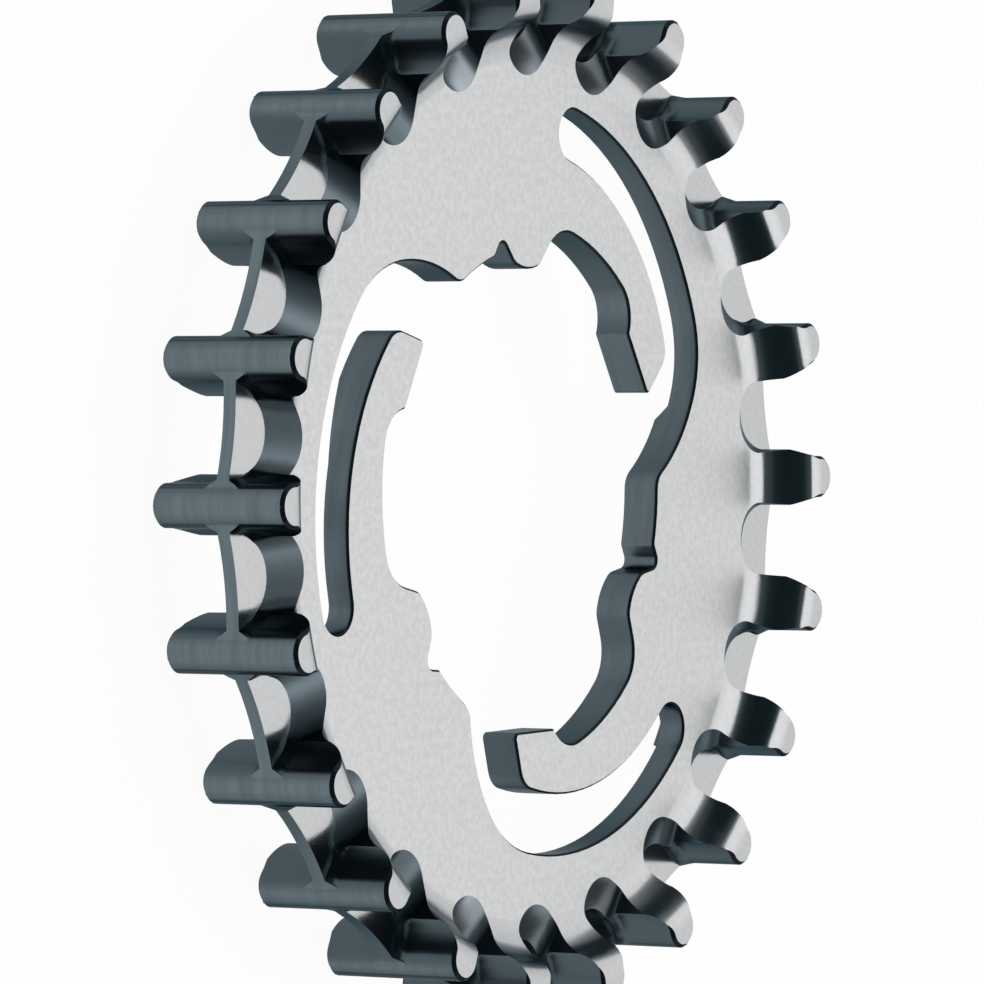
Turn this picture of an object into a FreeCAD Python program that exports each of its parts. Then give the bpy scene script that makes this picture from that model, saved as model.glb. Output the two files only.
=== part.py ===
import FreeCAD, Part
import math
import os
import Sketcher

# Belt drive sprocket: one steel disc with 22 belt teeth round a thin middle rib,
# a flat plate, three curved arms and a splined centre.
# Origin on the axis at the middle of the tooth width, +Z towards the flat front,
# +X through the middle of a tooth. Sizes in millimetres.

doc = FreeCAD.newDocument("BeltSprocket")

# Driving dimensions

SIZES = {
    # teeth and rim
    "tooth_count": 22,
    "outer_radius": 37.25,
    "rim_half_width": 5.44,
    "tip_centre_radius": 35.71,
    "tip_land_half": 0.1,
    # rim section
    "round_centre_radius": 35.7,
    "end_round": 2.1,
    "front_fillet": 3.4,
    "back_fillet": 3.0,
    # plate
    "plate_front": 1.93,
    "web_back": 0.08,
    "boss_back": 0.87,
    "boss_step_outer": 23.1,
    "boss_step_inner": 22.3,
    "blank_bore": 15.0,
    # rib between the teeth
    "rib_half_thickness": 0.5,
    "rib_mid_radius": 36.05,
    "rib_scallop": 20.0,
    "rib_tooth_fillet": 0.75,
    # gullets beside the rib
    "gullet_centre_radius": 35.85,
    "gullet_radius": 3.55,
    "flare_height": 0.9,
    "flare_width": 0.38,
    "tooth_end_break": 0.25,
    # ramp grooves from the gullets down to the plate
    "ramp_root_radius": 32.37,
    "ramp_radius": 2.7,
    "ramp_angle": 60.4,
    # centre opening, one third of it
    "sector_start_angle": 8.0,
    "sector_inner_radius": 14.0,
    "hub_arc_centre_radius": 15.957,
    "hub_arc_centre_angle": 46.26,
    "hub_arc_radius": 12.82,
    "slot_blend_radius": 8.0,
    "slot_outer_x": 0.48,
    "slot_outer_y": 4.44,
    "slot_outer_radius": 23.82,
    "slot_end_x": 6.27,
    "slot_inner_y": 5.11,
    "slot_inner_radius": 19.59,
    "tip_outer_round": 1.9,
    "tip_face_angle": 45.0,
    "tip_face_distance": 7.0,
    "tip_inner_round": 0.42,
    "heel_angle": 120.5,
    "heel_x": 13.6,
    "heel_y": 11.1,
    "heel_round": 3.0,
    "arm_inner_x": 0.44,
    "arm_inner_y": 0.82,
    "arm_inner_radius": 18.5,
    "arm_root_round": 3.12,
    "nose_right_angle": 47.5,
    "nose_right_distance": 9.75,
    "nose_right_round": 1.35,
    "nose_x": 0.07,
    "nose_y": 20.42,
    "nose_radius": 4.48,
    "nose_left_round": 1.5,
    "nose_left_angle": 129.5,
    "nose_left_distance": 8.94,
    "notch_round": 0.65,
    "notch_angle": 55.8,
    "notch_distance": 13.19,
    "shoulder_corner": 0.5,
    "shoulder_radius": 17.42,
    "hub_corner": 1.6,
    "opening_break": 0.15,
}

sheet = doc.addObject("Spreadsheet::Sheet", "Sizes")
for row, (alias, value) in enumerate(SIZES.items(), start=1):
    sheet.set(f"A{row}", alias.replace("_", " "))
    sheet.set(f"B{row}", str(value))
    sheet.setAlias(f"B{row}", alias)
doc.recompute()


# Helpers

def size(alias):
    """Current value of one driving dimension."""
    return float(sheet.get(alias))


def origin_feature(body, role):
    """Plane or axis of a body's own origin."""
    return next(item for item in body.Origin.OriginFeatures if item.Role == role)


def new_sketch(body, name, role):
    """Empty sketch on one of the body's own origin planes."""
    sketch = body.newObject("Sketcher::SketchObject", name)
    sketch.AttachmentSupport = [(origin_feature(body, role), "")]
    sketch.MapMode = "FlatFace"
    return sketch


def arc(sketch, x, y, radius, start, end):
    """Arc round (x, y), counterclockwise from start to end in degrees."""
    circle = Part.Circle(FreeCAD.Vector(x, y, 0), FreeCAD.Vector(0, 0, 1), radius)
    return sketch.addGeometry(Part.ArcOfCircle(circle, math.radians(start), math.radians(end)))


def line(sketch, x0, y0, x1, y1):
    """Line from (x0, y0) to (x1, y1)."""
    return sketch.addGeometry(Part.LineSegment(FreeCAD.Vector(x0, y0, 0), FreeCAD.Vector(x1, y1, 0)))


def bind(sketch, name, expression, *constraint):
    """Dimension of a sketch that follows the sheet."""
    index = sketch.addConstraint(Sketcher.Constraint(*constraint))
    sketch.renameConstraint(index, name)
    sketch.setExpression(f"Constraints.{name}", expression)


def place(sketch, name, geometry, point, x=None, y=None):
    """Hold a point at a distance right of and above the origin."""
    for axis, value in (("X", x), ("Y", y)):
        if value is None:
            continue
        expression, amount = value
        ends = (-1, 1, geometry, point) if amount >= 0 else (geometry, point, -1, 1)
        sign = "" if amount >= 0 else "-"
        bind(sketch, name + axis, f"{sign}({expression})", "Distance" + axis, *ends, abs(amount))


def radius(sketch, name, geometry, alias):
    """Radius of an arc that follows the sheet."""
    bind(sketch, name, f"Sizes.{alias}", "Radius", geometry, size(alias))


def join(sketch, kind, first, first_point, second, second_point):
    """Coincident or tangent joint between two ends."""
    sketch.addConstraint(Sketcher.Constraint(kind, first, first_point, second, second_point))


START, END, CENTRE = 1, 2, 3

# Blank, turned to the rim's section

sprocket = doc.addObject("PartDesign::Body", "Sprocket")
sprocket.Label = "sprocket"


def section_sketch(body):
    """Half section through rim, plate and hub boss, x outwards and y along the axis."""
    outer, half = size("outer_radius"), size("rim_half_width")
    cx, end_round = size("round_centre_radius"), size("end_round")
    front, web, boss = size("plate_front"), -size("web_back"), -size("boss_back")
    front_fillet, back_fillet = size("front_fillet"), size("back_fillet")
    step_outer, step_inner = size("boss_step_outer"), size("boss_step_inner")
    bore = size("blank_bore")

    sketch = new_sketch(body, "RimSection", "XZ_Plane")
    cy = half - end_round
    fy = front + front_fillet
    fx = cx - math.sqrt((front_fillet + end_round) ** 2 - (fy - cy) ** 2)
    contact = math.degrees(math.atan2(cy - fy, cx - fx))
    wall = cx - end_round

    plate = line(sketch, bore, front, fx, front)
    hollow = arc(sketch, fx, fy, front_fillet, -90, contact)
    crown = arc(sketch, cx, cy, end_round, 90, 180 + contact)
    face = line(sketch, cx, half, outer, half)
    top = line(sketch, outer, half, outer, -half)
    back_face = line(sketch, outer, -half, cx, -half)
    back_crown = arc(sketch, cx, -cy, end_round, 180, 270)
    back_wall = line(sketch, wall, -cy, wall, web - back_fillet)
    back_hollow = arc(sketch, wall - back_fillet, web - back_fillet, back_fillet, 0, 90)
    back_web = line(sketch, wall - back_fillet, web, step_outer, web)
    step = line(sketch, step_outer, web, step_inner, boss)
    back_boss = line(sketch, step_inner, boss, bore, boss)
    bore_wall = line(sketch, bore, boss, bore, front)

    join(sketch, "Tangent", plate, END, hollow, START)
    join(sketch, "Tangent", hollow, END, crown, END)
    join(sketch, "Tangent", crown, START, face, START)
    join(sketch, "Coincident", face, END, top, START)
    join(sketch, "Coincident", top, END, back_face, START)
    join(sketch, "Tangent", back_face, END, back_crown, END)
    join(sketch, "Tangent", back_crown, START, back_wall, START)
    join(sketch, "Tangent", back_wall, END, back_hollow, START)
    join(sketch, "Tangent", back_hollow, END, back_web, START)
    join(sketch, "Coincident", back_web, END, step, START)
    join(sketch, "Coincident", step, END, back_boss, START)
    join(sketch, "Coincident", back_boss, END, bore_wall, START)
    join(sketch, "Coincident", bore_wall, END, plate, START)
    for level in (plate, face, back_face, back_web, back_boss):
        sketch.addConstraint(Sketcher.Constraint("Horizontal", level))
    for upright in (top, back_wall, bore_wall):
        sketch.addConstraint(Sketcher.Constraint("Vertical", upright))

    radius(sketch, "frontFillet", hollow, "front_fillet")
    radius(sketch, "frontRound", crown, "end_round")
    radius(sketch, "backFillet", back_hollow, "back_fillet")
    radius(sketch, "backRound", back_crown, "end_round")
    place(sketch, "plate", plate, START, x=("Sizes.blank_bore", bore), y=("Sizes.plate_front", front))
    place(sketch, "crown", crown, CENTRE, x=("Sizes.round_centre_radius", cx))
    place(sketch, "rim", top, START, x=("Sizes.outer_radius", outer), y=("Sizes.rim_half_width", half))
    place(sketch, "rimBack", top, END, y=("-Sizes.rim_half_width", -half))
    place(sketch, "crownBack", back_crown, CENTRE, x=("Sizes.round_centre_radius", cx))
    place(sketch, "web", step, START, x=("Sizes.boss_step_outer", step_outer), y=("-Sizes.web_back", web))
    place(sketch, "boss", step, END, x=("Sizes.boss_step_inner", step_inner), y=("-Sizes.boss_back", boss))
    return sketch


blank = sprocket.newObject("PartDesign::Revolution", "Blank")
blank.Profile = section_sketch(sprocket)
blank.ReferenceAxis = (origin_feature(sprocket, "Z_Axis"), [""])
blank.Angle = 360
doc.recompute()

# Centre opening: hub arc, slot behind the arm, arm tip, arm and nose, one third of it.
# Its front edges are broken.


def opening_sketch(body):
    """Outline of one third of the opening, counterclockwise along the rim side and back."""
    start, inner = size("sector_start_angle"), size("sector_inner_radius")
    hub_radius, hub_from_axis = size("hub_arc_radius"), size("hub_arc_centre_radius")
    hub_angle = math.radians(size("hub_arc_centre_angle"))
    hub_x, hub_y = hub_from_axis * math.cos(hub_angle), hub_from_axis * math.sin(hub_angle)
    next_x = hub_from_axis * math.cos(hub_angle + math.radians(120))
    next_y = hub_from_axis * math.sin(hub_angle + math.radians(120))
    first = FreeCAD.Vector(inner * math.cos(math.radians(start)), inner * math.sin(math.radians(start)), 0)
    turn = FreeCAD.Rotation(FreeCAD.Vector(0, 0, 1), 120)
    corner = FreeCAD.Vector(20.49, 2.88, 0)
    last = turn.multVec(first)
    next_corner = turn.multVec(corner)

    sketch = new_sketch(body, "OpeningOutline", "XY_Plane")
    hub = arc(sketch, hub_x, hub_y, hub_radius, -42.4, -23.8)
    blend = arc(sketch, 15.44, 9.585, size("slot_blend_radius"), -23.8, 19.0)
    slot_outer = arc(sketch, size("slot_outer_x"), size("slot_outer_y"), size("slot_outer_radius"),
                     19.0, 74.7)
    slot_end = arc(sketch, size("slot_end_x"), 25.64, 1.88, 74.7, 253.0)
    slot_inner = arc(sketch, 0, size("slot_inner_y"), size("slot_inner_radius"), 15.5, 73.0)
    tip_outer = arc(sketch, 17.05, 9.83, size("tip_outer_round"), -45.0, 15.5)
    tip_face = line(sketch, 16.75, 6.82, 18.39, 8.49)
    tip_inner = arc(sketch, 16.44, 7.11, size("tip_inner_round"), 210.5, 315.0)
    tip_side = line(sketch, 16.08, 6.90, size("heel_x"), size("heel_y"))
    heel = arc(sketch, 10.78, 12.32, size("heel_round"), -23.4, 48.0)
    arm = arc(sketch, size("arm_inner_x"), size("arm_inner_y"), size("arm_inner_radius"), 48.0, 72.1)
    arm_root = arc(sketch, 5.16, 15.44, size("arm_root_round"), 72.1, 137.5)
    nose_right = line(sketch, 1.95, 16.57, 2.86, 17.55)
    nose_right_round = arc(sketch, 0.875, 17.395, size("nose_right_round"), 284.9, 317.5)
    nose = arc(sketch, size("nose_x"), size("nose_y"), size("nose_radius"), 248.6, 284.9)
    nose_left_round = arc(sketch, -1.02, 17.646, size("nose_left_round"), 219.5, 248.6)
    nose_left = line(sketch, -2.18, 16.69, -2.99, 17.67)
    notch = arc(sketch, -3.51, 17.18, size("notch_round"), 39.5, 145.8)
    notch_side = line(sketch, -4.42, 16.95, -4.05, 17.50)
    shoulder_corner = arc(sketch, -4.82, 17.26, size("shoulder_corner"), 286.0, 325.8)
    shoulder = arc(sketch, 0, 0, size("shoulder_radius"), 105.6, 118.2)
    hub_corner = arc(sketch, -8.99, 16.76, size("hub_corner"), 243.0, 298.2)
    next_hub = arc(sketch, next_x, next_y, hub_radius, 63.0, 77.6)
    outward = line(sketch, first.x, first.y, corner.x, corner.y)
    inward = line(sketch, last.x, last.y, next_corner.x, next_corner.y)
    across = line(sketch, last.x, last.y, first.x, first.y)

    join(sketch, "Coincident", outward, END, hub, START)
    join(sketch, "Tangent", hub, END, blend, START)
    join(sketch, "Tangent", blend, END, slot_outer, START)
    join(sketch, "Tangent", slot_outer, END, slot_end, START)
    join(sketch, "Tangent", slot_end, END, slot_inner, END)
    join(sketch, "Tangent", slot_inner, START, tip_outer, END)
    join(sketch, "Tangent", tip_outer, START, tip_face, END)
    join(sketch, "Tangent", tip_face, START, tip_inner, END)
    join(sketch, "Tangent", tip_inner, START, tip_side, START)
    join(sketch, "Coincident", tip_side, END, heel, START)
    join(sketch, "Tangent", heel, END, arm, START)
    join(sketch, "Tangent", arm, END, arm_root, START)
    join(sketch, "Tangent", arm_root, END, nose_right, END)
    join(sketch, "Tangent", nose_right, START, nose_right_round, END)
    join(sketch, "Tangent", nose_right_round, START, nose, END)
    join(sketch, "Tangent", nose, START, nose_left_round, END)
    join(sketch, "Tangent", nose_left_round, START, nose_left, START)
    join(sketch, "Tangent", nose_left, END, notch, START)
    join(sketch, "Tangent", notch, END, notch_side, END)
    join(sketch, "Tangent", notch_side, START, shoulder_corner, END)
    join(sketch, "Tangent", shoulder_corner, START, shoulder, START)
    join(sketch, "Tangent", shoulder, END, hub_corner, END)
    join(sketch, "Tangent", hub_corner, START, next_hub, START)
    join(sketch, "Coincident", next_hub, END, inward, END)
    join(sketch, "Coincident", inward, START, across, START)
    join(sketch, "Coincident", across, END, outward, START)
    join(sketch, "Coincident", shoulder, CENTRE, -1, 1)

    for name, edge, alias in (
            ("hubRadius", hub, "hub_arc_radius"),
            ("blendRadius", blend, "slot_blend_radius"),
            ("slotOuterRadius", slot_outer, "slot_outer_radius"),
            ("slotInnerRadius", slot_inner, "slot_inner_radius"),
            ("tipOuterRound", tip_outer, "tip_outer_round"),
            ("tipInnerRound", tip_inner, "tip_inner_round"),
            ("heelRound", heel, "heel_round"),
            ("armRadius", arm, "arm_inner_radius"),
            ("armRootRound", arm_root, "arm_root_round"),
            ("noseRightRound", nose_right_round, "nose_right_round"),
            ("noseRadius", nose, "nose_radius"),
            ("noseLeftRound", nose_left_round, "nose_left_round"),
            ("notchRound", notch, "notch_round"),
            ("shoulderCorner", shoulder_corner, "shoulder_corner"),
            ("shoulderRadius", shoulder, "shoulder_radius"),
            ("hubCorner", hub_corner, "hub_corner"),
            ("nextHubRadius", next_hub, "hub_arc_radius")):
        radius(sketch, name, edge, alias)

    angle = "Sizes.hub_arc_centre_angle * 1 deg"
    place(sketch, "hub", hub, CENTRE, x=(f"Sizes.hub_arc_centre_radius * cos({angle})", hub_x),
          y=(f"Sizes.hub_arc_centre_radius * sin({angle})", hub_y))
    place(sketch, "nextHub", next_hub, CENTRE,
          x=(f"Sizes.hub_arc_centre_radius * cos({angle} + 120 deg)", next_x),
          y=(f"Sizes.hub_arc_centre_radius * sin({angle} + 120 deg)", next_y))
    for name, edge, alias in (("slotOuter", slot_outer, "slot_outer"), ("arm", arm, "arm_inner"),
                              ("nose", nose, "nose")):
        place(sketch, name, edge, CENTRE, x=(f"Sizes.{alias}_x", size(f"{alias}_x")),
              y=(f"Sizes.{alias}_y", size(f"{alias}_y")))
    place(sketch, "slotEnd", slot_end, CENTRE, x=("Sizes.slot_end_x", size("slot_end_x")))
    place(sketch, "slotInner", slot_inner, CENTRE, y=("Sizes.slot_inner_y", size("slot_inner_y")))
    sketch.addConstraint(Sketcher.Constraint("PointOnObject", slot_inner, CENTRE, -2))
    place(sketch, "heel", heel, START, x=("Sizes.heel_x", size("heel_x")),
          y=("Sizes.heel_y", size("heel_y")))

    for name, edge, alias in (("tipFaceAngle", tip_face, "tip_face_angle"),
                              ("tipSideAngle", tip_side, "heel_angle"),
                              ("noseRightAngle", nose_right, "nose_right_angle"),
                              ("noseLeftAngle", nose_left, "nose_left_angle"),
                              ("notchAngle", notch_side, "notch_angle"),
                              ("startAngle", outward, "sector_start_angle")):
        bind(sketch, name, f"Sizes.{alias} * 1 deg", "Angle", edge, math.radians(size(alias)))
    bind(sketch, "endAngle", "(Sizes.sector_start_angle + 120) * 1 deg", "Angle", inward,
         math.radians(start + 120))
    for name, edge, alias in (("tipFace", tip_face, "tip_face_distance"),
                              ("noseRight", nose_right, "nose_right_distance"),
                              ("noseLeft", nose_left, "nose_left_distance"),
                              ("notch", notch_side, "notch_distance")):
        bind(sketch, name + "Distance", f"Sizes.{alias}", "Distance", -1, 1, edge, size(alias))
    for name, edge, point in (("outward", outward, START), ("inward", inward, START)):
        bind(sketch, name + "Inner", "Sizes.sector_inner_radius", "Distance", -1, 1, edge, point, inner)
        sketch.addConstraint(Sketcher.Constraint("PointOnObject", -1, 1, edge))
    return sketch


opening = sprocket.newObject("PartDesign::Pocket", "Opening")
opening.Profile = opening_sketch(sprocket)
opening.Type = "ThroughAll"
opening.SideType = "Symmetric"
doc.recompute()
openings = sprocket.newObject("PartDesign::PolarPattern", "Openings")
openings.Originals = [opening]
openings.Axis = (origin_feature(sprocket, "Z_Axis"), [""])
openings.Angle = 360
openings.Occurrences = 3
sprocket.Tip = openings
doc.recompute()


def opening_edges(shape, level):
    """Names of the edges of the centre opening that lie in one flat face."""
    names = []
    for number, edge in enumerate(shape.Edges, start=1):
        box = edge.BoundBox
        flat = abs(box.ZMin - level) < 1e-6 and abs(box.ZMax - level) < 1e-6
        if flat and not edge.isClosed():
            names.append(f"Edge{number}")
    return names


opening_break = sprocket.newObject("PartDesign::Chamfer", "OpeningBreak")
opening_break.Base = (openings, opening_edges(openings.Shape, size("plate_front")))
opening_break.setExpression("Size", "Sizes.opening_break")
sprocket.Tip = opening_break
doc.recompute()

# Gap between two teeth: the round tooth tips and the open outside.
# Its sketches are turned by half a pitch, so that a tooth stands on +X.

HALF_PITCH = "180 / Sizes.tooth_count"


def gap_sketch(body, name, level=None):
    """Empty sketch whose x axis runs out through the middle of a tooth gap."""
    sketch = new_sketch(body, name, "XY_Plane")
    turned = FreeCAD.Rotation(FreeCAD.Vector(0, 0, 1), 180 / size("tooth_count"))
    sketch.AttachmentOffset = FreeCAD.Placement(FreeCAD.Vector(0, 0, 0), turned)
    sketch.setExpression("AttachmentOffset.Rotation.Angle", f"{HALF_PITCH} * 1 deg")
    if level is not None:
        sketch.setExpression("AttachmentOffset.Base.z", f"Sizes.{level}")
    return sketch


def gap_sides(sketch):
    """Add the tip arcs of the two teeth and close the gap outside them."""
    half_pitch = 180 / size("tooth_count")
    tip_radius_from_axis = size("tip_centre_radius")
    tip_x = tip_radius_from_axis * math.cos(math.radians(half_pitch))
    tip_y = tip_radius_from_axis * math.sin(math.radians(half_pitch))
    tip = math.hypot(tip_x - size("gullet_centre_radius"), tip_y) - size("gullet_radius")
    side = half_pitch - math.degrees(math.asin(size("tip_land_half") / tip))
    end_x = tip_x + tip * math.cos(math.radians(side))
    end_y = tip_y + tip * math.sin(math.radians(side))
    reach = size("outer_radius") + 1.5
    out_y = end_y + (reach - end_x) * math.tan(math.radians(half_pitch))

    upper = arc(sketch, tip_x, tip_y, tip, -70, side)
    lower = arc(sketch, tip_x, -tip_y, tip, -side, 70)
    upper_side = line(sketch, end_x, end_y, reach, out_y)
    lower_side = line(sketch, reach, -out_y, end_x, -end_y)
    outside = line(sketch, reach, out_y, reach, -out_y)
    join(sketch, "Coincident", upper, END, upper_side, START)
    join(sketch, "Coincident", upper_side, END, outside, START)
    join(sketch, "Coincident", outside, END, lower_side, START)
    join(sketch, "Coincident", lower_side, END, lower, START)
    sketch.addConstraint(Sketcher.Constraint("Vertical", outside))

    across = f"Sizes.tip_centre_radius * cos({HALF_PITCH} * 1 deg)"
    aside = f"Sizes.tip_centre_radius * sin({HALF_PITCH} * 1 deg)"
    place(sketch, "upperTip", upper, CENTRE, x=(across, tip_x), y=(aside, tip_y))
    place(sketch, "lowerTip", lower, CENTRE, x=(across, tip_x), y=(f"-{aside}", -tip_y))
    place(sketch, "outside", outside, START, x=("Sizes.outer_radius + 1.5", reach))
    bind(sketch, "upperAngle", f"{HALF_PITCH} * 1 deg", "Angle", upper_side, math.radians(half_pitch))
    bind(sketch, "lowerAngle", f"(180 - {HALF_PITCH}) * 1 deg", "Angle", lower_side,
         math.radians(180 - half_pitch))
    for name, edge in (("upperLand", upper_side), ("lowerLand", lower_side)):
        bind(sketch, name, "Sizes.tip_land_half", "Distance", -1, 1, edge, size("tip_land_half"))
    return upper, lower


def tip_circle(sketch, upper, lower):
    """Size both tip arcs so that they touch the gullet's circle, drawn for reference only."""
    gx, gullet = size("gullet_centre_radius"), size("gullet_radius")
    tip_x, tip_y = sketch.Geometry[upper].Center.x, sketch.Geometry[upper].Center.y
    tip = math.hypot(tip_x - gx, tip_y) - gullet
    across = f"(Sizes.tip_centre_radius * cos({HALF_PITCH} * 1 deg) - Sizes.gullet_centre_radius)"
    aside = f"(Sizes.tip_centre_radius * sin({HALF_PITCH} * 1 deg))"
    touch = f"sqrt({across} ^ 2 + {aside} ^ 2) - Sizes.gullet_radius"
    bind(sketch, "upperTipRadius", touch, "Radius", upper, tip)
    bind(sketch, "lowerTipRadius", touch, "Radius", lower, tip)


def rib_outline_sketch(body):
    """Gap outside the rib: tooth tips, small corner rounds and the rib's scalloped edge."""
    sketch = gap_sketch(body, "RibOutline")
    upper, lower = gap_sides(sketch)
    tip_circle(sketch, upper, lower)
    mid, scallop, corner = size("rib_mid_radius"), size("rib_scallop"), size("rib_tooth_fillet")
    edge = arc(sketch, mid + scallop, 0, scallop, 168.5, 191.5)
    upper_corner = arc(sketch, 37.2, 3.9, corner, 151, 168)
    lower_corner = arc(sketch, 37.2, -3.9, corner, 192, 209)
    join(sketch, "Tangent", upper, START, upper_corner, START)
    join(sketch, "Tangent", upper_corner, END, edge, START)
    join(sketch, "Tangent", edge, END, lower_corner, START)
    join(sketch, "Tangent", lower_corner, END, lower, END)
    radius(sketch, "scallop", edge, "rib_scallop")
    radius(sketch, "upperCorner", upper_corner, "rib_tooth_fillet")
    radius(sketch, "lowerCorner", lower_corner, "rib_tooth_fillet")
    place(sketch, "edge", edge, CENTRE, x=("Sizes.rib_mid_radius + Sizes.rib_scallop", mid + scallop))
    sketch.addConstraint(Sketcher.Constraint("PointOnObject", edge, CENTRE, -1))
    return sketch


rib_gap = sprocket.newObject("PartDesign::Pocket", "RibGap")
rib_gap.Profile = rib_outline_sketch(sprocket)
rib_gap.Type = "ThroughAll"
rib_gap.SideType = "Symmetric"
doc.recompute()
rib_gaps = sprocket.newObject("PartDesign::PolarPattern", "RibGaps")
rib_gaps.Originals = [rib_gap]
rib_gaps.Axis = (origin_feature(sprocket, "Z_Axis"), [""])
rib_gaps.Angle = 360
rib_gaps.setExpression("Occurrences", "Sizes.tooth_count")
sprocket.Tip = rib_gaps
doc.recompute()

# Gullet cutter: a round gullet beside the rib, drawn in at the bottom so that the teeth flare
# where they meet the rib, with a slanted groove down to the plate, and widening again at the
# end faces to break the edges of the teeth there

cutter = doc.addObject("PartDesign::Body", "GulletCutter")


def gullet_sketch(body, name, level):
    """Round gullet between two teeth, at one level."""
    sketch = gap_sketch(body, name, level)
    upper, lower = gap_sides(sketch)
    gx, gullet = size("gullet_centre_radius"), size("gullet_radius")
    bottom = arc(sketch, gx, 0, gullet, 96, 264)
    join(sketch, "Tangent", upper, START, bottom, START)
    join(sketch, "Tangent", bottom, END, lower, END)
    radius(sketch, "gullet", bottom, "gullet_radius")
    place(sketch, "gullet", bottom, CENTRE, x=("Sizes.gullet_centre_radius", gx))
    sketch.addConstraint(Sketcher.Constraint("PointOnObject", bottom, CENTRE, -1))
    return sketch


gullet = cutter.newObject("PartDesign::Pad", "Gullet")
gullet.Profile = gullet_sketch(cutter, "GulletOutline", "rib_half_thickness")
gullet.setExpression("Length", "Sizes.rim_half_width")
doc.recompute()


def bottom_edges(shape, level):
    """Names of the curved edges that lie in the plane of the rib's face."""
    names = []
    for number, edge in enumerate(shape.Edges, start=1):
        box = edge.BoundBox
        flat = abs(box.ZMin - level) < 1e-6 and abs(box.ZMax - level) < 1e-6
        if flat and edge.Curve.TypeId == "Part::GeomCircle":
            names.append(f"Edge{number}")
    return names


flare = cutter.newObject("PartDesign::Chamfer", "GulletFlare")
flare.Base = (gullet, bottom_edges(gullet.Shape, size("rib_half_thickness")))
flare.ChamferType = "Two distances"
flare.setExpression("Size", "Sizes.flare_height")
flare.setExpression("Size2", "Sizes.flare_width")
doc.recompute()


def ramp_sketch(body):
    """U-shaped groove, open outwards, on the rib's face."""
    sketch = gap_sketch(body, "RampOutline", "rib_half_thickness")
    wide = size("ramp_radius")
    root = size("ramp_root_radius") + wide
    reach = size("outer_radius") + 12
    bottom = arc(sketch, root, 0, wide, 90, 270)
    upper = line(sketch, root, wide, reach, wide)
    lower = line(sketch, reach, -wide, root, -wide)
    outside = line(sketch, reach, wide, reach, -wide)
    join(sketch, "Tangent", bottom, START, upper, START)
    join(sketch, "Coincident", upper, END, outside, START)
    join(sketch, "Coincident", outside, END, lower, START)
    join(sketch, "Tangent", lower, END, bottom, END)
    sketch.addConstraint(Sketcher.Constraint("Horizontal", upper))
    sketch.addConstraint(Sketcher.Constraint("Vertical", outside))
    sketch.addConstraint(Sketcher.Constraint("PointOnObject", bottom, CENTRE, -1))
    radius(sketch, "groove", bottom, "ramp_radius")
    place(sketch, "groove", bottom, CENTRE, x=("Sizes.ramp_root_radius + Sizes.ramp_radius", root))
    place(sketch, "outside", outside, START, x=("Sizes.outer_radius + 12", reach))
    join(sketch, "Horizontal", lower, START, lower, END)
    return sketch


ramp = cutter.newObject("PartDesign::Pad", "Ramp")
ramp.Profile = ramp_sketch(cutter)
ramp.UseCustomVector = True
ramp.setExpression("Direction.x", f"-tan(Sizes.ramp_angle * 1 deg) * cos({HALF_PITCH} * 1 deg)")
ramp.setExpression("Direction.y", f"-tan(Sizes.ramp_angle * 1 deg) * sin({HALF_PITCH} * 1 deg)")
ramp.setExpression("Direction.z", "1")
ramp.AlongSketchNormal = True
ramp.setExpression("Length", "Sizes.rim_half_width")
doc.recompute()

end_break = cutter.newObject("PartDesign::Pad", "ToothEndBreak")
end_break.Profile = gullet_sketch(cutter, "ToothEndOutline", "rim_half_width - Sizes.tooth_end_break")
end_break.setExpression("Length", "2 * Sizes.tooth_end_break")
end_break.TaperAngle = 45
doc.recompute()

both_sides = cutter.newObject("PartDesign::Mirrored", "BothSides")
both_sides.TransformMode = "Whole shape"
both_sides.MirrorPlane = (origin_feature(cutter, "XY_Plane"), [""])
cutter.Tip = both_sides
doc.recompute()

all_gaps = cutter.newObject("PartDesign::PolarPattern", "AllGaps")
all_gaps.TransformMode = "Whole shape"
all_gaps.Axis = (origin_feature(cutter, "Z_Axis"), [""])
all_gaps.Angle = 360
all_gaps.setExpression("Occurrences", "Sizes.tooth_count")
cutter.Tip = all_gaps
doc.recompute()

# Teeth, left standing where the cutter passes

teeth = sprocket.newObject("PartDesign::Boolean", "Teeth")
teeth.Type = "Cut"
teeth.setObjects([cutter])
sprocket.Tip = teeth
sprocket.Placement = FreeCAD.Placement()
doc.recompute()

# Checks, then one file for the one piece

for item in doc.Objects:
    if "Invalid" in item.State or "Error" in item.State:
        raise RuntimeError(f"{item.Name} failed: {item.State}")
if sprocket.Shape.isNull() or not sprocket.Shape.isValid():
    raise RuntimeError("the sprocket's shape is not valid")
if len(sprocket.Shape.Solids) != 1:
    raise RuntimeError("the sprocket is not one solid")

os.makedirs("parts", exist_ok=True)
sprocket.Shape.exportStep(f"parts/{sprocket.Label}.step")
print(f"{sprocket.Label}: {sprocket.Shape.Volume:.1f} mm3, {len(sprocket.Shape.Faces)} faces")
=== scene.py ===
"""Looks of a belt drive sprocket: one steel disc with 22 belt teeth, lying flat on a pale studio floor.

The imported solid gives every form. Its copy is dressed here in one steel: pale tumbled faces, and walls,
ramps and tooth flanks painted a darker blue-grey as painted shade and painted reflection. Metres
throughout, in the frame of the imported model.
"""

import logging
import math
from dataclasses import dataclass, field
from enum import IntEnum
from typing import Any, Optional

import bmesh
import bpy
from mathutils import Matrix, Vector


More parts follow.
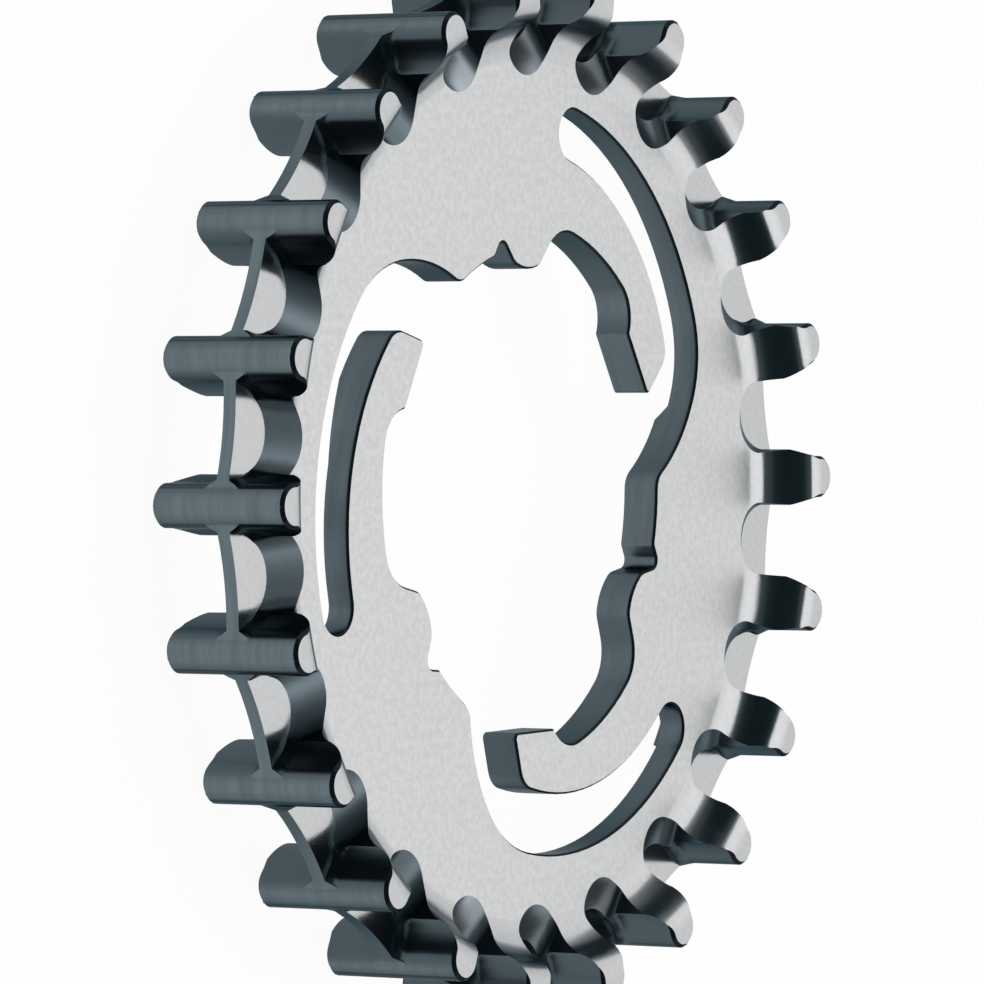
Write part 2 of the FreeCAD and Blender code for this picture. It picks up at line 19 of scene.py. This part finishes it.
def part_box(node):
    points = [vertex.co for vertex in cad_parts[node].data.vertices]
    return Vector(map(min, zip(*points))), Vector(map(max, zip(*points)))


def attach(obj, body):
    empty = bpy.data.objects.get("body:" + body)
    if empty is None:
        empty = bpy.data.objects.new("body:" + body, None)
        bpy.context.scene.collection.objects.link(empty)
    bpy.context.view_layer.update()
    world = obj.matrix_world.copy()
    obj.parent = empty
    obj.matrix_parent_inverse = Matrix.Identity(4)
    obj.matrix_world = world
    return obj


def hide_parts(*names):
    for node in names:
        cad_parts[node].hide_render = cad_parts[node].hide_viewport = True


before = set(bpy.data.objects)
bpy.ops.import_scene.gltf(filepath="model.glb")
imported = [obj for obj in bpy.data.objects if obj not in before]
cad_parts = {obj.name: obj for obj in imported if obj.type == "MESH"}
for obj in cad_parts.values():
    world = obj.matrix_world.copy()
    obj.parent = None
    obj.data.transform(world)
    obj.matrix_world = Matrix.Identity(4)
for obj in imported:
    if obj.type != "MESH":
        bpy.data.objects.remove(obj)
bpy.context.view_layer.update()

MM = 0.001
AXIS = (0.0, 0.0, 1.0)
ACROSS_AXIS = (1.0, 1.0, 0.0)
LOG = logging.getLogger("sprocket")

Range = tuple[float, float]
Colour = tuple[float, float, float, float]
Tree = bpy.types.NodeTree
Socket = bpy.types.NodeSocket

# The sRGB standard's curve
SRGB_KNEE = 0.04045
SRGB_SLOPE = 12.92
SRGB_OFFSET = 0.055
SRGB_POWER = 2.4


# Colour and node helpers

class MixInput(IntEnum):
    """Inputs of the Mix node that share their names, so that they go by number."""

    NUMBER_A = 2
    NUMBER_B = 3
    COLOUR_A = 6
    COLOUR_B = 7


# The Mix node's colour output, which shares its name too
MIXED_COLOUR = 2


def linear(code: str) -> Colour:
    """Turn an sRGB hex colour into linear light.

    Args:
        code: six hex digits, such as "c8c8c8".

    Returns:
        Red, green, blue and an alpha of one.
    """
    parts = [int(code[i:i + 2], 16) / 255 for i in (0, 2, 4)]
    light = [part / SRGB_SLOPE if part <= SRGB_KNEE
             else ((part + SRGB_OFFSET) / (1 + SRGB_OFFSET)) ** SRGB_POWER for part in parts]
    return (light[0], light[1], light[2], 1.0)


def cosines(degrees: Range) -> Range:
    """Turn a range of tilts in degrees into the shares of the normal that point straight up."""
    return (math.cos(math.radians(degrees[0])), math.cos(math.radians(degrees[1])))


def add_node(tree: Tree, kind: str, links: Optional[dict[Any, Any]] = None,
             values: Optional[dict[Any, Any]] = None, **settings: Any) -> bpy.types.Node:
    """Add one node with its settings, socket values and incoming links.

    Args:
        tree: the node tree that gets the node.
        kind: the node's Blender type name.
        links: input socket name or number to the output socket that feeds it.
        values: input socket name or number to its constant value.
        settings: attributes of the node itself.

    Returns:
        The new node.
    """
    node = tree.nodes.new(kind)
    for name, value in settings.items():
        setattr(node, name, value)
    for socket, value in (values or {}).items():
        node.inputs[socket].default_value = value
    for socket, source in (links or {}).items():
        tree.links.new(source, node.inputs[socket])
    return node


def new_material(name: str) -> bpy.types.Material:
    """Make an empty node material.

    Args:
        name: the material's name.

    Returns:
        The material, with no nodes in its tree.
    """
    material = bpy.data.materials.new(name)
    material.use_nodes = True
    material.node_tree.nodes.clear()
    return material


# Finishes

@dataclass(frozen=True)
class Speckle:
    """A noise pattern: how wide its spots are, its octaves and how strong the finer ones come out."""

    width: float
    detail: float
    roughness: float


@dataclass(frozen=True)
class SprocketSteel:
    """Stainless steel that was turned, milled and then tumbled.

    Tumbling media roll over the turned faces and leave them pale and satin, with a fine mottle. The walls and
    ramps that a cutter made are painted a darker blue-grey as painted shade and painted reflection, with
    faint rings on the tooth crowns. The flanks and the walls that face along Y get darker painted shade, and
    ramps in gaps that lie along Y get painted light. The tooth ends are smoother than the plate, so they show
    the window and the dark room in clear bands. A painted dark line, standing in for a reflection, runs along
    the tooth tips and on the broken edges.

    A range gives the reading at which a region starts and the one at which it is full.
    """

    # Colours of the turned faces, and of their reflection at a flat angle
    turned: str = "dedede"
    turned_shade: str = "d2d3d4"
    tooth_end: str = "bfc1c3"
    tooth_end_share: float = 0.6
    edge_tint: str = "a0a6a8"

    # Colours of the cut faces, painted darker than the turned faces as painted shade and painted reflection
    wall: str = "67747a"
    ring: str = "4b575c"
    ring_share: float = 0.55
    flank: str = "4e5a60"
    ramp: str = "7f8d95"
    # painted light: ramps in gaps that lie along Y are lighter, standing in for a reflection
    lit_ramp: str = "ced7de"
    # painted reflection: the colour of the dark lines on the tooth tips and broken edges
    painted_dark_line: str = "444f55"

    # A face is cut, and painted dark as painted shade and painted reflection, where its normal has this share
    # outwards or sideways, or tilts by these degrees
    cut_share: Range = (0.18, 0.34)
    wall_tilt: Range = (36.0, 46.0)
    ramp_tilt: Range = (34.0, 60.0)

    # Walls are painted darker, as painted shade, the more they face sideways or along Y, and ramps are
    # painted lighter, as painted light, in gaps that lie along Y
    flank_share: Range = (0.5, 0.95)
    across_share: Range = (0.25, 0.85)
    across_shade_share: float = 0.7
    lit_ramp_heading: Range = (0.85, 0.97)

    # The painted dark lines, which stand in for reflections: along the tooth tips, by how far they face along
    # Y, on the front edges of the openings and round the tooth ends
    tip_line_start: Range = (0.75, 0.77)
    tip_line_stop: Range = (0.85, 0.83)
    tip_reach: Range = (36.45 * MM, 36.55 * MM)
    front_edge: Range = (1.68 * MM, 1.73 * MM)
    opening_reach: Range = (28.6 * MM, 28.5 * MM)
    tooth_edge: Range = (5.17 * MM, 5.2 * MM)
    edge_level: Range = (0.9, 0.8)

    # Where the teeth start, and how smooth each kind of face is
    tooth_reach: Range = (30.7 * MM, 31.1 * MM)
    plate_roughness: Range = (0.32, 0.46)
    tooth_roughness: Range = (0.1, 0.19)
    dull_roughness: float = 0.3

    # Real tumbling marks and turning rings are finer; they are as coarse here as they need to be to show
    mottle: Speckle = Speckle(0.5 * MM, 3.0, 0.55)
    mottle_contrast: Range = (0.3, 0.7)
    grit: Speckle = Speckle(0.16 * MM, 2.0, 0.6)
    grit_strength: float = 0.2
    grit_height: float = 0.015 * MM
    rings: Speckle = Speckle(0.7 * MM, 3.0, 0.6)
    ring_stretch: tuple[float, float, float] = (0.08, 0.08, 1.0)
    ring_contrast: Range = (0.35, 0.75)

    def build(self) -> bpy.types.Material:
        """Make the steel's material.

        Returns:
            The material.
        """
        material = new_material("tumbled_steel")
        tree = material.node_tree
        reading = self.readings(tree)
        region = self.regions(tree, reading)
        region["line"] = self.join_painted_dark_lines(tree, region)
        bump = add_node(tree, "ShaderNodeBump", {"Height": reading["grit"]},
                        {"Strength": self.grit_strength, "Distance": self.grit_height})
        steel = add_node(tree, "ShaderNodeBsdfPrincipled",
                         {"Base Color": self.colour(tree, region), "Normal": bump.outputs[0],
                          "Roughness": self.roughness(tree, region, reading["grit"])},
                         {"Metallic": 1.0, "Specular Tint": linear(self.edge_tint)})
        add_node(tree, "ShaderNodeOutputMaterial", {"Surface": steel.outputs[0]})
        return material

    def readings(self, tree: Tree) -> dict[str, Socket]:
        """Read where each point of the surface lies, which way it faces and what its patterns are there.

        Args:
            tree: the node tree to work in.

        Returns:
            The readings' sockets by name.
        """
        coordinates = add_node(tree, "ShaderNodeTexCoord")
        place, normal = coordinates.outputs["Object"], coordinates.outputs["Normal"]
        flat = add_node(tree, "ShaderNodeVectorMath", {0: place}, {1: ACROSS_AXIS}, operation="MULTIPLY")
        reach = add_node(tree, "ShaderNodeVectorMath", {0: flat.outputs[0]}, operation="LENGTH")
        outward = add_node(tree, "ShaderNodeVectorMath", {0: flat.outputs[0]}, operation="NORMALIZE")
        sideways = add_node(tree, "ShaderNodeVectorMath", {0: outward.outputs[0]}, {1: AXIS},
                            operation="CROSS_PRODUCT")
        ahead, aside = [add_node(tree, "ShaderNodeVectorMath", {0: normal, 1: way.outputs[0]},
                                 operation="DOT_PRODUCT").outputs["Value"] for way in (outward, sideways)]
        height, facing, heading = [add_node(tree, "ShaderNodeSeparateXYZ", {0: source}).outputs
                                   for source in (place, normal, outward.outputs[0])]
        reading = {"reach": reach.outputs["Value"], "height": height["Z"]}
        both_ways = {"depth": height["Z"], "aside": aside, "level": facing["Z"], "across": facing["Y"],
                     "heading": heading["Y"]}
        for name, source in both_ways.items():
            reading[name] = add_node(tree, "ShaderNodeMath", {0: source}, operation="ABSOLUTE").outputs[0]
        reading["rimward"] = add_node(tree, "ShaderNodeMath", {0: ahead, 1: reading["aside"]},
                                      operation="MAXIMUM").outputs[0]

        drawn = add_node(tree, "ShaderNodeVectorMath", {0: place}, {1: self.ring_stretch},
                         operation="MULTIPLY")
        patterns = {"mottle": (place, self.mottle), "grit": (place, self.grit),
                    "rings": (drawn.outputs[0], self.rings)}
        for name, (where, speckle) in patterns.items():
            noise = add_node(tree, "ShaderNodeTexNoise", {"Vector": where},
                             {"Scale": 1 / speckle.width, "Detail": speckle.detail,
                              "Roughness": speckle.roughness})
            reading[name] = noise.outputs["Fac"]
        return reading

    def regions(self, tree: Tree, reading: dict[str, Socket]) -> dict[str, Socket]:
        """Find where each finish lies.

        Args:
            tree: the node tree to work in.
            reading: the surface's readings by name.

        Returns:
            Sockets that blend from 0 outside a region to 1 inside it, by the region's name.
        """
        limits = {
            "milled": ("rimward", self.cut_share),
            "upright": ("level", cosines(self.wall_tilt)),
            "steep": ("level", cosines(self.ramp_tilt)),
            "toothed": ("reach", self.tooth_reach),
            "flank": ("aside", self.flank_share),
            "across": ("across", self.across_share),
            "lit": ("heading", self.lit_ramp_heading),
            "cloudy": ("mottle", self.mottle_contrast),
            "tip_start": ("across", self.tip_line_start),
            "tip_stop": ("across", self.tip_line_stop),
            "tip": ("reach", self.tip_reach),
            "front_edge": ("height", self.front_edge),
            "opening": ("reach", self.opening_reach),
            "tooth_edge": ("depth", self.tooth_edge),
            "broken": ("level", self.edge_level),
        }
        region = {}
        for name, (source, (start, full)) in limits.items():
            blend = add_node(tree, "ShaderNodeMapRange", {"Value": reading[source]},
                             {"From Min": start, "From Max": full}, interpolation_type="SMOOTHSTEP")
            region[name] = blend.outputs[0]
        ringed = add_node(tree, "ShaderNodeMapRange", {"Value": reading["rings"]},
                          {"From Min": self.ring_contrast[0], "From Max": self.ring_contrast[1],
                           "To Max": self.ring_share})
        region["ringed"] = ringed.outputs[0]
        # painted shade: the share by which walls that face along Y are darkened
        for name, source, share in (("end", "toothed", self.tooth_end_share),
                                    ("along_y_shade", "across", self.across_shade_share)):
            region[name] = add_node(tree, "ShaderNodeMath", {0: region[source]}, {1: share},
                                    operation="MULTIPLY").outputs[0]
        for name, first, second in (("cut", "milled", "upright"), ("side_shade_and_dull", "flank", "along_y_shade")):
            region[name] = add_node(tree, "ShaderNodeMath", {0: region[first], 1: region[second]},
                                    operation="MAXIMUM").outputs[0]
        return region

    def join_painted_dark_lines(self, tree: Tree, region: dict[str, Socket]) -> Socket:
        """Join the painted dark lines, painted reflections, of the tooth tips, the openings and the tooth
        ends.

        Args:
            tree: the node tree to work in.
            region: the regions by name; a line lies where its three regions meet.

        Returns:
            A socket that is 1 on a line.
        """
        lines = (("tip_start", "tip_stop", "tip"), ("front_edge", "broken", "opening"),
                 ("tooth_edge", "broken", "milled"))
        joined: Optional[Socket] = None
        for first, *others in lines:
            line = region[first]
            for other in others:
                line = add_node(tree, "ShaderNodeMath", {0: line, 1: region[other]},
                                operation="MULTIPLY").outputs[0]
            if joined is not None:
                line = add_node(tree, "ShaderNodeMath", {0: joined, 1: line}, operation="MAXIMUM").outputs[0]
            joined = line
        return joined

    def colour(self, tree: Tree, region: dict[str, Socket]) -> Socket:
        """Lay the colours over each other, each layer between two colours or earlier layers.

        Args:
            tree: the node tree to work in.
            region: the regions by name.

        Returns:
            The last layer's socket.
        """
        layers = {
            "face": ("cloudy", linear(self.turned_shade), linear(self.turned)),
            "turned": ("end", "face", linear(self.tooth_end)),
            "crown": ("ringed", linear(self.wall), linear(self.ring)),
            # painted shade: walls that face sideways or along Y are darker
            "wall": ("side_shade_and_dull", "crown", linear(self.flank)),
            # painted light: ramps in gaps that lie along Y are lighter
            "ramp": ("lit", linear(self.ramp), linear(self.lit_ramp)),
            # painted shade and painted reflection: the cut faces are darker than the turned faces
            "shaded_cut_colour": ("steep", "ramp", "wall"),
            "bare": ("cut", "turned", "shaded_cut_colour"),
            # painted reflection: dark lines on the tooth tips, opening edges and tooth ends
            "painted_dark_line": ("line", "bare", linear(self.painted_dark_line)),
        }
        mixed: dict[str, Socket] = {}
        for layer, (where, *ends) in layers.items():
            links, values = {"Factor": region[where]}, {}
            for socket, end in zip((MixInput.COLOUR_A, MixInput.COLOUR_B), ends):
                if isinstance(end, str):
                    links[socket] = mixed[end]
                else:
                    values[socket] = end
            mixed[layer] = add_node(tree, "ShaderNodeMix", links, values,
                                    data_type="RGBA").outputs[MIXED_COLOUR]
        return mixed["painted_dark_line"]

    def roughness(self, tree: Tree, region: dict[str, Socket], grit: Socket) -> Socket:
        """Make the plate satin, the teeth smoother, and the ramps and flanks dull.

        Args:
            tree: the node tree to work in.
            region: the regions by name.
            grit: the fine pattern that varies the roughness a little.

        Returns:
            The roughness's socket.
        """
        plate, tooth = [add_node(tree, "ShaderNodeMapRange", {"Value": grit},
                                 {"To Min": low, "To Max": high}).outputs[0]
                        for low, high in (self.plate_roughness, self.tooth_roughness)]
        rough = add_node(tree, "ShaderNodeMix",
                         {"Factor": region["toothed"], MixInput.NUMBER_A: plate, MixInput.NUMBER_B: tooth},
                         data_type="FLOAT").outputs[0]
        gentle = add_node(tree, "ShaderNodeMath", {0: region["cut"], 1: region["steep"]},
                          operation="SUBTRACT", use_clamp=True).outputs[0]
        dull = add_node(tree, "ShaderNodeMath", {0: gentle, 1: region["side_shade_and_dull"]},
                        operation="MAXIMUM").outputs[0]
        rough = add_node(tree, "ShaderNodeMix", {"Factor": dull, MixInput.NUMBER_A: rough},
                         {MixInput.NUMBER_B: self.dull_roughness}, data_type="FLOAT").outputs[0]
        return rough


@dataclass(frozen=True)
class StudioPaper:
    """Matt white background paper, which the camera sees as an even white with the object's soft shadow."""

    paper: str = "f0f0f0"
    white: Colour = (1.0, 1.0, 1.0, 1.0)
    glow: float = 0.95
    shadow_share: float = 0.09

    def build(self) -> bpy.types.Material:
        """Make the paper's material.

        Returns:
            The material.
        """
        material = new_material("white_studio_paper")
        tree = material.node_tree
        ray = add_node(tree, "ShaderNodeLightPath").outputs
        seen = ray["Is Camera Ray"]
        for kind in ("Is Glossy Ray", "Is Transmission Ray"):
            seen = add_node(tree, "ShaderNodeMath", {0: seen, 1: ray[kind]}, operation="MAXIMUM").outputs[0]
        faint = (self.shadow_share, self.shadow_share, self.shadow_share, 1.0)
        matt, shaded = [add_node(tree, "ShaderNodeBsdfDiffuse", values={"Color": colour}).outputs[0]
                        for colour in (linear(self.paper), faint)]
        glowing = add_node(tree, "ShaderNodeEmission", values={"Color": self.white, "Strength": self.glow})
        lit = add_node(tree, "ShaderNodeAddShader", {0: shaded, 1: glowing.outputs[0]})
        mixed = add_node(tree, "ShaderNodeMixShader", {0: seen, 1: matt, 2: lit.outputs[0]})
        add_node(tree, "ShaderNodeOutputMaterial", {"Surface": mixed.outputs[0]})
        return material


# The sprocket

@dataclass
class Sprocket:
    """The one piece of the object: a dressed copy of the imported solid."""

    node: str = "sprocket"
    body: str = "root"
    slot: str = "tumbled_steel"
    weld: float = 0.0005 * MM
    flat_angle: float = 0.05
    sharp_angle: float = 28.0
    steel: SprocketSteel = field(default_factory=SprocketSteel)

    def merged_copy(self) -> bpy.types.Object:
        """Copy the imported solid's mesh, join its loose triangles and shade its curved faces smooth.

        Returns:
            The new object, at the origin.
        """
        mesh = bpy.data.meshes.new("sprocket_steel")
        work = bmesh.new()
        work.from_mesh(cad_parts[self.node].data)
        bmesh.ops.remove_doubles(work, verts=work.verts, dist=self.weld)
        bmesh.ops.dissolve_limit(work, angle_limit=math.radians(self.flat_angle), verts=work.verts,
                                 edges=work.edges)
        for face in work.faces:
            face.smooth = True
        for edge in work.edges:
            edge.smooth = edge.calc_face_angle(math.pi) < math.radians(self.sharp_angle)
        work.to_mesh(mesh)
        work.free()
        piece = bpy.data.objects.new("sprocket_steel", mesh)
        bpy.context.scene.collection.objects.link(piece)
        weighted = piece.modifiers.new("flat faces stay flat", "WEIGHTED_NORMAL")
        weighted.keep_sharp = True
        return piece

    def build(self) -> bpy.types.Object:
        """Build the dressed sprocket and hand it to the frame.

        Returns:
            The finished piece.
        """
        piece = self.merged_copy()
        piece.data.materials.append(self.steel.build())
        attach(piece, self.body)
        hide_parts(self.node)
        LOG.info("%s: %d faces", piece.name, len(piece.data.polygons))
        return piece


# The studio

@dataclass(frozen=True)
class Viewpoint:
    """Camera of the photograph: where it stands round the sprocket, in degrees, and how it is rolled."""

    azimuth: float = 178.0256
    elevation: float = 32.4152
    distance: float = 559.855 * MM
    roll: float = 90.4361
    target: tuple[float, float, float] = (-2.2507 * MM, -0.0555 * MM, 0.0)
    lens: float = 285.04
    sensor: float = 36.0
    clip: Range = (0.01, 20.0)

    def build(self) -> bpy.types.Object:
        """Set up the camera.

        Returns:
            The camera, which is also the scene's.
        """
        data = bpy.data.cameras.new("camera")
        data.lens = self.lens
        data.sensor_fit = "HORIZONTAL"
        data.sensor_width = self.sensor
        data.clip_start, data.clip_end = self.clip
        camera = bpy.data.objects.new("camera", data)
        azimuth, elevation = math.radians(self.azimuth), math.radians(self.elevation)
        away = Vector((math.cos(elevation) * math.cos(azimuth), math.cos(elevation) * math.sin(azimuth),
                       math.sin(elevation)))
        roll = Matrix.Rotation(math.radians(self.roll), 4, "Z").to_quaternion()
        turned = (-away).to_track_quat("-Z", "Y") @ roll
        camera.matrix_world = Matrix.LocRotScale(Vector(self.target) + away * self.distance, turned, None)
        bpy.context.scene.collection.objects.link(camera)
        bpy.context.scene.camera = camera
        return camera


@dataclass
class Studio:
    """White floor, one large window towards +X with a dark room behind the camera, and the camera.

    A share is a strength beside the window's, and a range is the direction in which it changes.
    """

    floor_level: float
    floor_size: float = 4.0
    room: Colour = (0.048, 0.068, 0.071, 1.0)
    window_edge: Range = (-0.04, 0.1)
    window_side: Range = (0.56, 0.64)
    side_share: float = 0.24
    overhead: Range = (0.45, 0.95)
    overhead_share: float = 1.2
    horizon: Range = (0.0, 0.1)
    horizon_share: float = 0.2
    viewpoint: Viewpoint = field(default_factory=Viewpoint)
    paper: StudioPaper = field(default_factory=StudioPaper)

    def floor(self) -> bpy.types.Object:
        """Lay the floor under the object.

        Returns:
            The floor.
        """
        mesh = bpy.data.meshes.new("floor")
        half = self.floor_size / 2
        corners = [(-half, -half), (half, -half), (half, half), (-half, half)]
        mesh.from_pydata([(x, y, self.floor_level) for x, y in corners], [], [(0, 1, 2, 3)])
        floor = bpy.data.objects.new("floor", mesh)
        bpy.context.scene.collection.objects.link(floor)
        mesh.materials.append(self.paper.build())
        return floor

    def sky(self) -> bpy.types.World:
        """Light the set by the window, which fades out at its sides and low down, and by the dim room.

        Returns:
            The world.
        """
        world = bpy.data.worlds.new("window_and_room")
        bpy.context.scene.world = world
        world.use_nodes = True
        tree = world.node_tree
        tree.nodes.clear()
        where = add_node(tree, "ShaderNodeTexCoord")
        axes = add_node(tree, "ShaderNodeSeparateXYZ", {0: where.outputs["Generated"]}).outputs
        aside = add_node(tree, "ShaderNodeMath", {0: axes["Y"]}, operation="ABSOLUTE").outputs[0]
        changes = (
            (aside, self.window_side, 1.0, self.side_share),
            (axes["Z"], self.overhead, 1.0, self.overhead_share),
            (axes["Z"], self.horizon, self.horizon_share, 1.0),
            (axes["X"], self.window_edge, 0.0, 1.0),
        )
        side, high, low, lit = [
            add_node(tree, "ShaderNodeMapRange", {"Value": source},
                     {"From Min": start, "From Max": stop, "To Min": before, "To Max": after},
                     interpolation_type="SMOOTHSTEP").outputs[0]
            for source, (start, stop), before, after in changes]
        strength = side
        for share in (high, low):
            strength = add_node(tree, "ShaderNodeMath", {0: strength, 1: share},
                                operation="MULTIPLY").outputs[0]
        colour = add_node(tree, "ShaderNodeMix", {"Factor": lit, MixInput.COLOUR_B: strength},
                          {MixInput.COLOUR_A: self.room}, data_type="RGBA")
        light = add_node(tree, "ShaderNodeBackground", {"Color": colour.outputs[MIXED_COLOUR]})
        add_node(tree, "ShaderNodeOutputWorld", {"Surface": light.outputs[0]})
        return world

    def build(self) -> None:
        """Set up floor, light and camera."""
        self.floor()
        self.sky()
        self.viewpoint.build()
        bpy.context.scene.view_settings.view_transform = "Standard"


def main() -> None:
    """Build the sprocket and its studio."""
    logging.basicConfig(level=logging.INFO, format="%(name)s %(message)s")
    sprocket = Sprocket()
    low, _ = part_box(sprocket.node)
    sprocket.build()
    Studio(floor_level=low.z).build()


if __name__ == "__main__":
    main()
